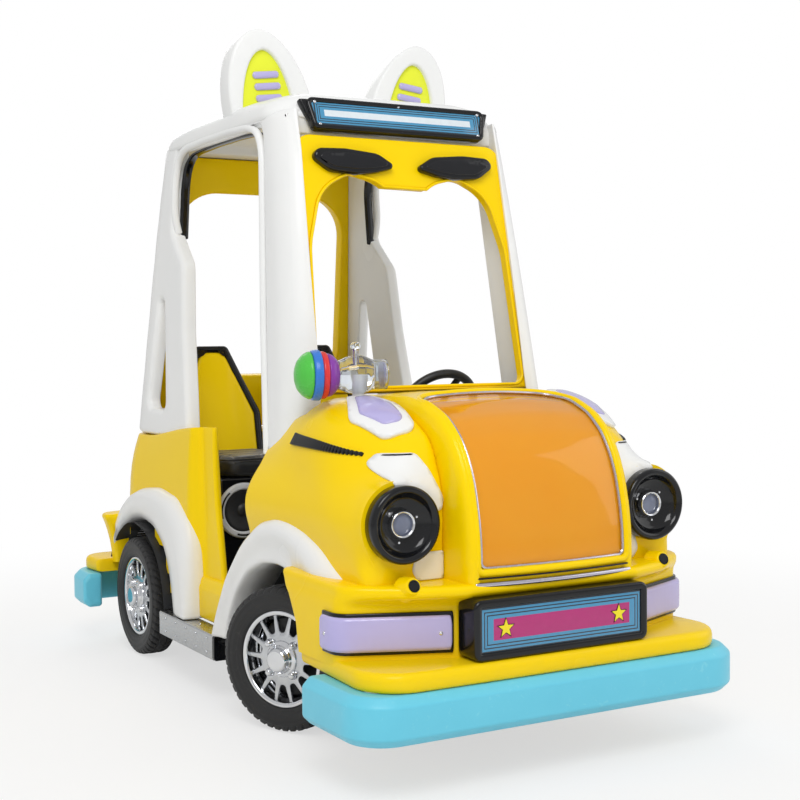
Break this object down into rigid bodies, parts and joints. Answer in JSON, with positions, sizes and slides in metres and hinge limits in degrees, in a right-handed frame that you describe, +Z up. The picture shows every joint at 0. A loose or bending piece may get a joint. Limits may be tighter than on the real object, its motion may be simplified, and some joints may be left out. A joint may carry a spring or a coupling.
{
  "type": "fairground bumper car",
  "caption": "Fairground bumper car with a canopy, side-by-side seats, steered front wheels on alloy rims and a rubber bumper at each end.",
  "frame": {"origin": "on the ground under the middle of the car", "axes": "+Z up, the front of the car is -Y, its left side is +X"},
  "size_m": [1.072, 2.11, 1.861],
  "materials": {
    "yellow_gelcoat": "polished gel coat",
    "white_gelcoat": "polished gel coat",
    "bumper_rubber": "moulded, satin",
    "gloss_black": "gloss",
    "soft_grip": "satin foam",
    "cushion_vinyl": "coated fabric, semi-gloss",
    "sign_panel": "printed panel, blank",
    "lamp_lens": "translucent, gloss",
    "amber_acrylic": "tinted clear sheet",
    "stainless": "polished",
    "dark_steel": "satin black paint",
    "tyre_rubber": "matt",
    "chrome_alloy": "polished"
  },
  "bodies": {
    "chassis": {"battery_pack": "dark_steel", "bonnet_window": "amber_acrylic", "brow_lamp_left": "gloss_black", "brow_lamp_right": "gloss_black", "bubble_blower": "lamp_lens", "chassis_frame": "dark_steel", "dashboard": "gloss_black", "display_tray": "white_gelcoat", "ear_left": "white_gelcoat", "ear_right": "white_gelcoat", "floor_pan": "gloss_black", "front_axle": "dark_steel", "front_body": "yellow_gelcoat", "front_bumper": "bumper_rubber", "front_fender_left": "white_gelcoat", "front_fender_right": "white_gelcoat", "front_pillar_left": "white_gelcoat", "front_pillar_right": "white_gelcoat", "front_sign": "sign_panel", "headlamp_left": "gloss_black", "headlamp_right": "gloss_black", "marker_lamp_left": "lamp_lens", "marker_lamp_right": "lamp_lens", "rear_axle": "dark_steel", "rear_body": "yellow_gelcoat", "rear_bumper": "bumper_rubber", "rear_fender_left": "white_gelcoat", "rear_fender_right": "white_gelcoat", "rear_pillar_left": "white_gelcoat", "rear_pillar_right": "white_gelcoat", "rear_window_frame": "yellow_gelcoat", "roof": "white_gelcoat", "roof_sign": "sign_panel", "seat_back_left": "yellow_gelcoat", "seat_back_right": "yellow_gelcoat", "seat_base": "gloss_black", "seat_cushion_left": "cushion_vinyl", "seat_cushion_right": "cushion_vinyl", "side_step_left": "stainless", "side_step_right": "stainless", "sill_left": "yellow_gelcoat", "sill_right": "yellow_gelcoat", "steering_column": "gloss_black", "windscreen_frame": "yellow_gelcoat"},
    "knuckle_left": {"knuckle_left": "dark_steel"},
    "knuckle_right": {"knuckle_right": "dark_steel"},
    "steering_wheel": {"steering_wheel": "soft_grip"},
    "tie_rod": {"tie_rod": "dark_steel"},
    "wheel_front_left": {"tyre_front_left": "tyre_rubber", "rim_front_left": "chrome_alloy"},
    "wheel_front_right": {"tyre_front_right": "tyre_rubber", "rim_front_right": "chrome_alloy"},
    "wheel_rear_left": {"tyre_rear_left": "tyre_rubber", "rim_rear_left": "chrome_alloy"},
    "wheel_rear_right": {"tyre_rear_right": "tyre_rubber", "rim_rear_right": "chrome_alloy"}
  },
  "joints": [
    {"name": "steer_left", "type": "hinge", "parent": "chassis", "child": "knuckle_left", "pos_m": [0.325, -0.344, 0.185], "axis": [0, 0, 1], "range_deg": [-60, 7]},
    {"name": "steer_right", "type": "hinge", "parent": "chassis", "child": "knuckle_right", "pos_m": [-0.325, -0.344, 0.185], "axis": [0, 0, 1], "range_deg": [-60, 7]},
    {"name": "steering_wheel_turn", "type": "hinge", "parent": "chassis", "child": "steering_wheel", "pos_m": [0.165, -0.205, 0.792], "axis": [0, 0.866, 0.5], "range_deg": [-181, 22]},
    {"name": "tie_rod_slide", "type": "slide", "parent": "chassis", "child": "tie_rod", "axis": [1, 0, 0], "range_m": [-0.0107, 0.0902]},
    {"name": "roll_front_left", "type": "hinge", "parent": "knuckle_left", "child": "wheel_front_left", "pos_m": [0.38292, -0.31449, 0.185], "axis": [0.891, 0.454, 0], "continuous": true},
    {"name": "roll_front_right", "type": "hinge", "parent": "knuckle_right", "child": "wheel_front_right", "pos_m": [-0.38292, -0.37351, 0.185], "axis": [0.891, 0.454, 0], "continuous": true},
    {"name": "roll_rear_left", "type": "hinge", "parent": "chassis", "child": "wheel_rear_left", "pos_m": [0.39, 0.666, 0.185], "axis": [1, 0, 0], "continuous": true},
    {"name": "roll_rear_right", "type": "hinge", "parent": "chassis", "child": "wheel_rear_right", "pos_m": [-0.39, 0.666, 0.185], "axis": [1, 0, 0], "continuous": true}
  ],
  "couplings": [
    {"joint": "steer_right", "follows": "steer_left", "ratio": 1},
    {"joint": "steering_wheel_turn", "follows": "steer_left", "ratio": 3},
    {"joint": "tie_rod_slide", "follows": "steer_left", "m_per_rad": -0.0859}
  ]
}
